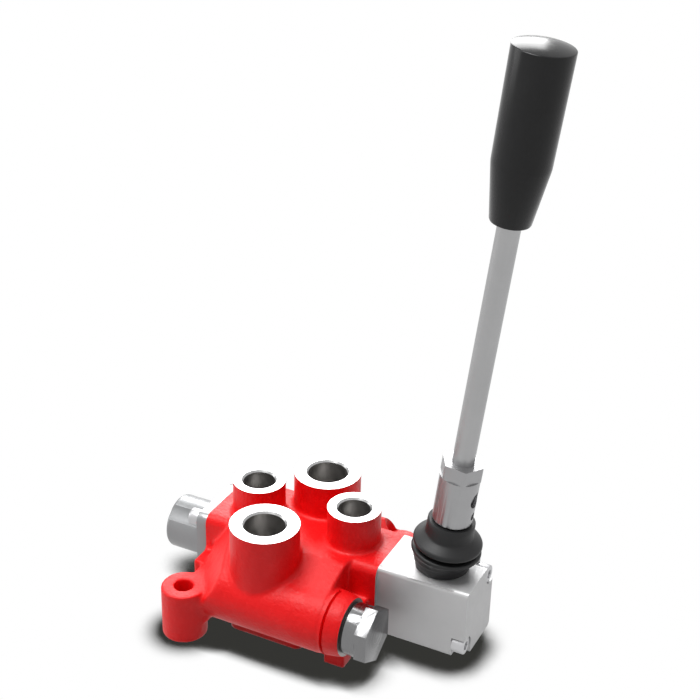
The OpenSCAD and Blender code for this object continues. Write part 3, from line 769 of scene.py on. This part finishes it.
def coil(length, mid_r, wire_r, turns):
    """Wire of round section wound upwards from Z = 0."""
    steps = 48 * turns
    bm = bmesh.new()
    section = at(mid_r, 0, wire_r) @ Matrix.Rotation(QUARTER, 4, "X")
    bmesh.ops.create_circle(bm, segments=16, radius=wire_r, matrix=section)
    bmesh.ops.spin(
        bm,
        geom=bm.verts[:] + bm.edges[:],
        cent=(0, 0, 0),
        axis=(0, 0, 1),
        dvec=(0, 0, (length - 2 * wire_r) / steps),
        angle=math.tau * turns,
        steps=steps,
    )
    bmesh.ops.holes_fill(bm, edges=bm.edges[:], sides=0)
    bmesh.ops.recalc_face_normals(bm, faces=bm.faces)
    return bm


def wound_spring(node, wire_r, turns, axis_name, fixed_end, joint, travel):
    """Wound wire in the place of a CAD coil. The joint and travel are not used."""
    low, high = (Vector(corner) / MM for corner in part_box(node))
    axis, turn = SPRING_AXES[axis_name]
    length = (high - low).dot(axis)
    start = (low + high - axis * length) / 2
    wire = coil(length, (high.y - low.y) / 2 - wire_r, wire_r, turns)
    moved(wire, Matrix.Translation(start) @ turn)
    obj = piece(node + "_wire", wire, "valve_body", [WIRE], [node])
    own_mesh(obj)


def springs():
    for spring in SPRINGS:
        wound_spring(*spring)


# The spring cap and its screws

# Ends of the cap's round body and of its plate, and half the plate's width
CAP_END_X = -HOUSING_END_X - 26.5
CAP_PLATE_X = -HOUSING_END_X - 5.3
CAP_PLATE_HALF = 17.4
# The round body sits a little lower than the spool, flush with its plate's lower side
CAP_R = 13.3
CAP_Z = 24.3
CAP_RIM = 1.8
# The screws' distance from the spool's axis, in Y and in Z, and the grooves for their heads
CAP_SCREW = 13.0
CAP_GROOVE_R = 8.0
CAST_EDGE = 0.35

# The M5 screws of the cap and the lever housing
SCREW_R = 2.5
HEAD_R = 4.25
HEAD_H = 5.0
CAP_SHANK_L = 14.3
BOX_SHANK_L = 47.2


def cap_screw_place(k, x):
    """The axis of the upper (-1) or lower (1) screw, from x onwards."""
    return at(x, k * CAP_SCREW, SPOOL_Z - k * CAP_SCREW) @ ALONG_X


def on_cap_rim(edge):
    return all(v.co.x < CAP_END_X + 0.1 for v in edge.verts) and edge.calc_length() < 5


def spring_cap():
    plate = block(
        (CAP_PLATE_X, -CAP_PLATE_HALF, SPOOL_Z - CAP_PLATE_HALF),
        (-HOUSING_END_X, CAP_PLATE_HALF, SPOOL_Z + CAP_PLATE_HALF),
    )
    bevel_edges(plate, runs_along_x, CORNER_R, 8)
    body = moved(rod(CAP_R, CAP_END_X, -HOUSING_END_X - 2, 144), at(0, 0, CAP_Z) @ ALONG_X)
    bevel_edges(body, on_cap_rim, CAP_RIM, 5)
    groove_l = CAP_PLATE_X - CAP_END_X + OVERCUT
    start_x = CAP_END_X - OVERCUT
    grooves = [moved(rod(CAP_GROOVE_R, 0, groove_l), cap_screw_place(k, start_x)) for k in (-1, 1)]
    body = combined(body, bm_from(*grooves), "DIFFERENCE")
    cap = rounded(combined(body, plate, "UNION"), CAST_EDGE, 3)
    piece("spring_cap_casting", cap, "valve_body", [CAP_ALLOY], ["spring_cap"])


def socket_screw(shank_l, head_h=HEAD_H):
    """Socket head cap screw along +Z, with the head's outer face at 0."""
    profile = [
        (0, 0),
        (HEAD_R - 0.4, 0),
        (HEAD_R - 0.12, 0.12),
        (HEAD_R, 0.4),
        (HEAD_R, head_h - 0.2),
        (HEAD_R - 0.2, head_h),
        (SCREW_R, head_h),
        (SCREW_R, head_h + shank_l),
        (0, head_h + shank_l),
    ]
    screw = combined(lathe(profile, 72), hexagon(4.0, -1, 2.6), "DIFFERENCE")
    return rounded(screw, 0.1, 2)


def screw_pair(name, screws, node):
    piece(name, bm_from(*screws), "valve_body", [SCREW_STEEL], [node])


def cap_screws():
    head_x = CAP_PLATE_X - HEAD_H
    screws = [moved(socket_screw(CAP_SHANK_L), cap_screw_place(k, head_x)) for k in (-1, 1)]
    screw_pair("cap_screw_pair", screws, "cap_screws")


# The gallery plug and its bonded washer

WASHER_IN_R = 9.2
WASHER_OUT_R = 11.9
WASHER_T = 0.8
PLUG_THREAD_R = 9.15
PLUG_SHOULDER_R = 12.2
PLUG_SHOULDER_X = COLLAR_END_X + WASHER_T
PLUG_HEX_X = 49.8
PLUG_HEX_W = 24.0


def gallery_plug():
    low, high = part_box("gallery_plug")
    x0, x1 = low[0] / MM, high[0] / MM
    # The round neck runs a little into the hexagon
    neck_x1 = PLUG_HEX_X + 0.2
    profile = [
        (0, x0),
        (PLUG_THREAD_R - 0.45, x0),
        (PLUG_THREAD_R, x0 + 0.6),
        (PLUG_THREAD_R, PLUG_SHOULDER_X),
        (PLUG_SHOULDER_R - 0.4, PLUG_SHOULDER_X),
        (PLUG_SHOULDER_R, PLUG_SHOULDER_X + 0.5),
        (PLUG_SHOULDER_R, neck_x1),
        (0, neck_x1),
    ]
    plug = combined(hexagon(PLUG_HEX_W, PLUG_HEX_X, x1), lathe(profile), "UNION")
    plug = along_gallery(rounded(plug, 0.12, 2))
    piece("hexagon_plug", plug, "valve_body", [PLATED], ["gallery_plug"])


def gallery_seal():
    x0, x1 = COLLAR_END_X, PLUG_SHOULDER_X
    chamfer = 0.2
    profile = [
        (WASHER_IN_R, x0),
        (WASHER_OUT_R - chamfer, x0),
        (WASHER_OUT_R, x0 + chamfer),
        (WASHER_OUT_R, x1 - chamfer),
        (WASHER_OUT_R - chamfer, x1),
        (WASHER_IN_R, x1),
        (WASHER_IN_R, x0),
    ]
    ring = along_gallery(lathe(profile, 96))
    piece("bonded_washer", ring, "valve_body", [SEAL_RUBBER], ["gallery_plug_seal"])


# The lever housing and its screws

BOX_X1 = 90.3
BOX_HALF = 15.7
BOX_Z = (7.5, 44.4)
BOX_CORNER = 2.2
# The boot's seat on top: a low cone round SEAT_X as (radius, height) points, trimmed to the box
SEAT_X = 71.4
SEAT = [(0, 40), (19, 40), (19, 44.0), (14.5, 44.55), (12.9, 44.9), (0, 44.9)]
# Pockets for the screw heads in two corners, and the screws' distance from the spool's axis
POCKET_L = 6.6
POCKET_R = 4.5
BOX_SCREW = 12.2
HEAD_DEPTH = 0.5


def corner_pocket(k):
    """Opens a lower (-1) or upper (1) corner of the box round a screw's head."""
    y, z = k * BOX_SCREW, SPOOL_Z + k * BOX_SCREW
    x0, x1 = BOX_X1 - POCKET_L, BOX_X1 + 1
    cuts = [moved(rod(POCKET_R, x0, x1, 64), at(0, y, z) @ ALONG_X)]
    for inner_y, inner_z in ((y - k * POCKET_R, z), (y, z - k * POCKET_R)):
        y0, y1 = sorted((inner_y, y + 9 * k))
        z0, z1 = sorted((inner_z, z + 9 * k))
        cuts.append(block((x0, y0, z0), (x1, y1, z1)))
    return cuts


def lever_housing():
    box = block((HOUSING_END_X, -BOX_HALF, BOX_Z[0]), (BOX_X1, BOX_HALF, BOX_Z[1]))
    long_edges = [e for e in box.edges if runs_along_x(e)]
    bmesh.ops.subdivide_edges(box, edges=long_edges, cuts=1)
    bevel_edges(box, runs_along_x, BOX_CORNER, 8)
    trim = block((50, -BOX_HALF + 0.2, 30), (BOX_X1 - 0.1, BOX_HALF - 0.2, 50))
    seat = combined(moved(lathe(SEAT), at(SEAT_X, 0, 0)), trim, "INTERSECT")
    box = combined(box, seat, "UNION")
    for cut in corner_pocket(-1) + corner_pocket(1):
        box = combined(box, cut, "DIFFERENCE")
    box = rounded(box, CAST_EDGE, 3, 40)
    piece("lever_box", box, "valve_body", [ALLOY], ["lever_housing"])


def housing_screws():
    screws = []
    for k in (-1, 1):
        place = at(BOX_X1 - HEAD_DEPTH, k * BOX_SCREW, SPOOL_Z + k * BOX_SCREW)
        towards_casting = place @ Matrix.Rotation(-QUARTER, 4, "Y")
        screws.append(moved(socket_screw(BOX_SHANK_L, POCKET_L - HEAD_DEPTH), towards_casting))
    screw_pair("box_screw_pair", screws, "housing_screws")


# The lever, measured from the pivot along the lever

# Below the first height in BOOT_LEANS the boot stands upright like the box, above the second it
# leans like the lever
# Foot, the two lips with the groove between them, the neck, and back down the inside
BOOT = [
    (10.2, 3.4), (12.1, 3.4), (12.5, 3.8), (12.5, 6.3), (12.7, 6.6), (13.1, 6.7), (13.2, 7.1),
    (13.3, 8.6), (13.6, 8.9), (13.9, 9.0), (14.1, 10.4), (14.5, 11.2), (15.3, 11.9), (16.0, 12.6),
    (16.2, 13.3), (16.1, 14.0), (15.5, 14.5), (14.0, 14.5), (12.4, 14.7), (11.8, 15.3),
    (12.0, 16.1), (15.2, 16.5), (15.8, 16.9), (16.0, 17.4), (15.95, 18.3), (15.6, 18.9),
    (15.0, 19.4), (13.0, 20.75), (11.6, 21.7), (11.2, 22.1), (11.1, 22.7), (11.0, 26.5),
    (10.9, 29.2), (10.5, 29.8), (5.6, 29.8), (5.4, 29.4), (5.4, 22.0), (8.0, 19.0), (9.6, 12.0),
    (9.6, 8.0), (10.2, 5.4), (10.2, 3.4),
]
# Heights between which the boot goes over from upright to the lever's lean
BOOT_LEANS = (6.0, 14.0)


def boot():
    """Rubber boot: the foot stands upright, and the lips and the neck lean with the lever."""
    bm = lathe(BOOT, 144)
    upright, leaning = BOOT_LEANS
    for v in bm.verts:
        share = min(max((v.co.z - upright) / (leaning - upright), 0.0), 1.0)
        share = share * share * (3 - 2 * share)
        v.co = Matrix.Rotation(LEAN * share, 4, "Y") @ v.co
    moved(bm, Matrix.Translation(PIVOT))
    obj = piece("rubber_boot", bm, None, [BOOT_RUBBER], ["lever_boot"], sharp=50)
    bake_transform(obj)


# Along the lever: the hub's ends, the start of its hexagon, its side hole and its dimple
HUB_S = (30.2, 61.5)
HUB_HEX_S = 54.1
SIDE_HOLE_S = 44.2
DIMPLE_S = 35.2
HUB_R = 9.25
HUB_HEX_W = 17.0
HUB_BORE_R = 5.05
SIDE_HOLE_R = 4.0
DIMPLE_R = 1.9
ROD_R = 5.0
ROD_S = (45.0, 204.0)
# The knob as (radius, place along the lever): socket, tapered grip and domed end
KNOB = [
    (5.15, 190), (5.15, 177.9), (5.4, 177.8), (8.0, 177.8), (8.5, 178.0), (8.8, 178.6),
    (12.2, 202.0), (12.3, 203.0), (12.34, 204.2), (12.75, 250.1), (12.7, 250.4), (12.5, 250.6),
    (12.2, 250.7), (11.0, 251.05), (9.2, 251.5), (7.0, 251.9), (4.6, 252.2), (2.3, 252.35),
    (0, 252.4),
]


def cross_hole(radius, floor_r, s, segments):
    """Drill across the lever at s, whose floor lies floor_r off the axis."""
    return moved(rod(radius, floor_r, 20, segments), at(0, 0, s) @ ALONG_X)


def hub():
    s0, s1 = HUB_S
    turned = lathe(
        [(0, s0), (HUB_R - 0.5, s0), (HUB_R, s0 + 0.5), (HUB_R, HUB_HEX_S), (0, HUB_HEX_S)], 144
    )
    hexagon_bar = hexagon(HUB_HEX_W, HUB_HEX_S - 1, s1 + 1)
    trimmed = combined(hexagon_bar, rod(HUB_R + 0.5, HUB_HEX_S, s1, 144), "INTERSECT")
    whole = combined(turned, trimmed, "UNION")
    bore = rod(HUB_BORE_R, s0 - 1, s1 + 1)
    side_hole = cross_hole(SIDE_HOLE_R, 4.5, SIDE_HOLE_S, 72)
    dimple = cross_hole(DIMPLE_R, HUB_R - 1.6, DIMPLE_S, 48)
    for cutter in (bore, side_hole, dimple):
        whole = combined(whole, cutter, "DIFFERENCE")
    whole = moved(rounded(whole, 0.14, 2, 40), LEVER)
    piece("lever_hub_turned", whole, "lever", [LEVER_STEEL], ["lever_hub"])


def lever_rod():
    bar = moved(rod(ROD_R, *ROD_S, chamfer=0.6), LEVER)
    piece("lever_bar", bar, "lever", [ROD_STEEL], ["lever_rod"])


def knob():
    grip = moved(lathe(KNOB, 160), LEVER)
    piece("grip_knob", grip, "lever", [KNOB_PLASTIC], ["lever_knob"])


# The studio

# Lamps as (name, place, what it points at, size in metres, watts)
LAMPS = [
    ("overhead", (-0.55, -0.4, 2.2), (0.0, 0.0, 0.05), 1.2, 50.0),
    ("softbox behind", (-1.15, 2.1, 1.4), (0.03, 0.0, 0.08), 1.5, 56.0),
    ("left wall", (-2.0, -0.5, 0.6), (0.0, 0.0, 0.1), 1.2, 12.0),
    ("right wall", (2.1, 0.2, 0.6), (0.0, 0.0, 0.1), 1.2, 2.0),
]
WHITE = (1.0, 1.0, 1.0)
WALL_LIGHT = (0.19, 0.19, 0.192)
SHADOW = (0.035, 0.035, 0.032)
SHADOW_REACH = 0.017
MIRRORED_SHADOW = 0.3
PAPER = (0.45, 0.45, 0.45, 1)


def seen_or_mirrored(tree, rays):
    """1 for what the camera sees directly, mirrored or through something clear, else 0."""
    seen = math_node(tree, "MAXIMUM", rays.outputs["Is Camera Ray"], rays.outputs["Is Glossy Ray"])
    return math_node(tree, "MAXIMUM", seen, rays.outputs["Is Transmission Ray"])


def floor_finish():
    """White paper with a painted shadow from ambient occlusion, dark where the object stands on it
    and less dark there in reflections.
    """
    material = bpy.data.materials.new("white floor")
    material.use_nodes = True
    tree = material.node_tree
    tree.nodes.clear()
    rays = tree.nodes.new("ShaderNodeLightPath")
    # Painted shadow: how much nearby geometry hides the floor sets how dark the floor is drawn
    near = add(tree, "ShaderNodeAmbientOcclusion", samples=24)
    near.inputs["Distance"].default_value = SHADOW_REACH
    faint = math_node(tree, "MULTIPLY", rays.outputs["Is Glossy Ray"], MIRRORED_SHADOW)
    shown = math_node(tree, "MAXIMUM", rays.outputs["Is Camera Ray"], faint)
    dark = math_node(tree, "MULTIPLY", remap(tree, near.outputs["AO"], 0.93, 0.70), shown)
    white = tree.nodes.new("ShaderNodeEmission")
    tree.links.new(tinted(tree, WHITE, SHADOW, dark), white.inputs["Color"])
    paper = tree.nodes.new("ShaderNodeBsdfDiffuse")
    paper.inputs["Color"].default_value = PAPER
    mix = tree.nodes.new("ShaderNodeMixShader")
    out = tree.nodes.new("ShaderNodeOutputMaterial")
    tree.links.new(seen_or_mirrored(tree, rays), mix.inputs["Fac"])
    tree.links.new(paper.outputs[0], mix.inputs[1])
    tree.links.new(white.outputs[0], mix.inputs[2])
    tree.links.new(mix.outputs[0], out.inputs["Surface"])
    return material


def add_floor():
    bm = bmesh.new()
    bmesh.ops.create_grid(bm, x_segments=1, y_segments=1, size=3)
    floor = scratch(bm, "floor")
    floor.data.materials.append(floor_finish())


def add_world():
    """White walls to the eye and in reflections, and a low plain light on everything else."""
    world = bpy.data.worlds.new("studio")
    world.use_nodes = True
    bpy.context.scene.world = world
    tree = world.node_tree
    rays = tree.nodes.new("ShaderNodeLightPath")
    colour = tinted(tree, WALL_LIGHT, WHITE, seen_or_mirrored(tree, rays))
    tree.links.new(colour, tree.nodes["Background"].inputs["Color"])


def area_light(name, place, target, size, power):
    data = bpy.data.lights.new(name, "AREA")
    data.shape = "SQUARE"
    data.size = size
    data.energy = power
    lamp = bpy.data.objects.new(name, data)
    bpy.context.scene.collection.objects.link(lamp)
    direction = Vector(target) - Vector(place)
    lamp.location = place
    lamp.rotation_euler = direction.to_track_quat("-Z", "Y").to_euler()


def add_camera():
    camera = bpy.data.cameras.new("camera")
    camera.lens = LENS
    camera.sensor_width = SENSOR
    camera.shift_y = CAMERA_SHIFT
    camera.clip_end = 20
    eye = bpy.data.objects.new("camera", camera)
    bpy.context.scene.collection.objects.link(eye)
    turn = (
        Matrix.Rotation(math.radians(CAMERA_AZIMUTH), 4, "Z")
        @ Matrix.Rotation(math.radians(90 - CAMERA_ELEVATION), 4, "X")
        @ Matrix.Rotation(math.radians(CAMERA_ROLL), 4, "Z")
    )
    eye.matrix_world = Matrix.Translation(CAMERA_PLACE) @ turn
    bpy.context.scene.camera = eye


def studio():
    bpy.context.scene.view_settings.view_transform = "Standard"
    add_camera()
    add_floor()
    add_world()
    for lamp in LAMPS:
        area_light(*lamp)


finish_cad_nodes()
casting()
springs()
spring_cap()
cap_screws()
gallery_plug()
gallery_seal()
lever_housing()
housing_screws()
boot()
hub()
lever_rod()
knob()
studio()
